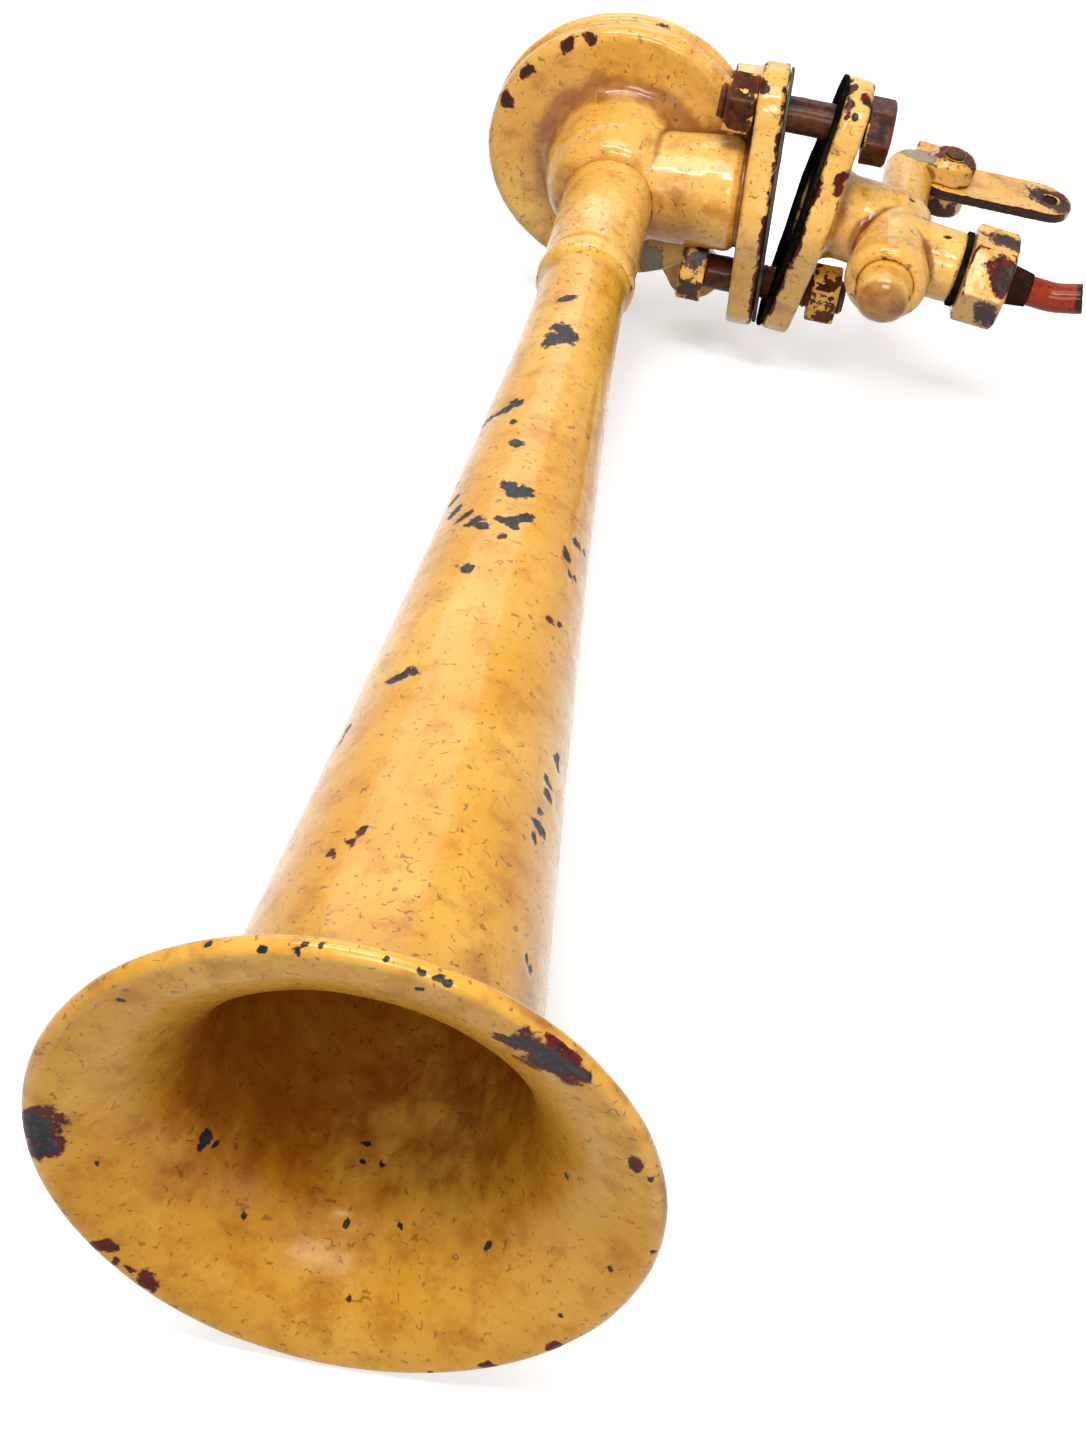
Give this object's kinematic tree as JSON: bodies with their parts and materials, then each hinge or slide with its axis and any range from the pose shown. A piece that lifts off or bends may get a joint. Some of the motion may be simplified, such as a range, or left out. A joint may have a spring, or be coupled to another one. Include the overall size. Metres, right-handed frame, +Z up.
{
  "type": "ship's fog horn",
  "caption": "Long flared air horn with a round diaphragm head, side feed through a two-bolt flange joint, lever-worked air valve and union inlet.",
  "frame": {"origin": "on the horn axis, at the flat back face of the round head", "axes": "+Y backwards along the horn axis, so the mouth faces -Y; +X to the feed and valve side; +Z up"},
  "size_m": [0.228, 0.4893, 0.134],
  "materials": {
    "ochre_paint": "old glossy ochre paint, chipped",
    "rusty_steel": "rusty, with paint remnants",
    "black_rubber": "matte black",
    "grey_gasket": "matte grey fibre",
    "brass": "dull",
    "plain_steel": "dull",
    "dark_brass": "blackened",
    "copper": "tarnished copper"
  },
  "bodies": {
    "horn": {"bell": "ochre_paint", "neck_tube": "ochre_paint", "throat_nozzle": "brass", "head_casting": "ochre_paint", "front_gasket": "black_rubber", "diaphragm": "plain_steel", "rear_gasket": "black_rubber", "rear_cover": "ochre_paint", "cover_screws": "rusty_steel", "horn_gasket": "grey_gasket", "valve_gasket": "black_rubber", "upper_bolt": "rusty_steel", "upper_nut": "rusty_steel", "lower_bolt": "rusty_steel", "lower_nut": "rusty_steel", "valve_body": "ochre_paint", "valve_seat": "brass", "return_spring": "plain_steel", "end_cap": "ochre_paint", "bonnet_yoke": "ochre_paint", "stem_packing": "black_rubber", "lever_pin": "rusty_steel", "union_washer": "black_rubber", "tube_nipple": "dark_brass", "supply_tube": "copper"},
    "lever": {"lever": "ochre_paint"},
    "valve": {"valve_stem": "plain_steel", "valve_disc": "brass", "disc_facing": "black_rubber"},
    "nut": {"union_nut": "ochre_paint"}
  },
  "joints": [
    {"name": "lever_swing", "type": "hinge", "parent": "horn", "child": "lever", "pos_m": [0.11256, 0.00742, -0.00926], "axis": [0.1736, 0, 0.9848], "range_deg": [0, 13.56], "stiffness_Nm_per_rad": 0.3853, "springref_deg": -4.52},
    {"name": "valve_slide", "type": "slide", "parent": "horn", "child": "valve", "axis": [-0.0601, -0.9981, 0.0106], "range_m": [0, 0.003], "deforming": ["return_spring"]},
    {"name": "nut_turn", "type": "hinge", "parent": "horn", "child": "nut", "pos_m": [0.12749, -0.05102, -0.01189], "axis": [0.983, -0.061, -0.1733], "continuous": true}
  ],
  "couplings": [
    {"joint": "valve_slide", "follows": "lever_swing", "m_per_rad": 0.01267}
  ]
}
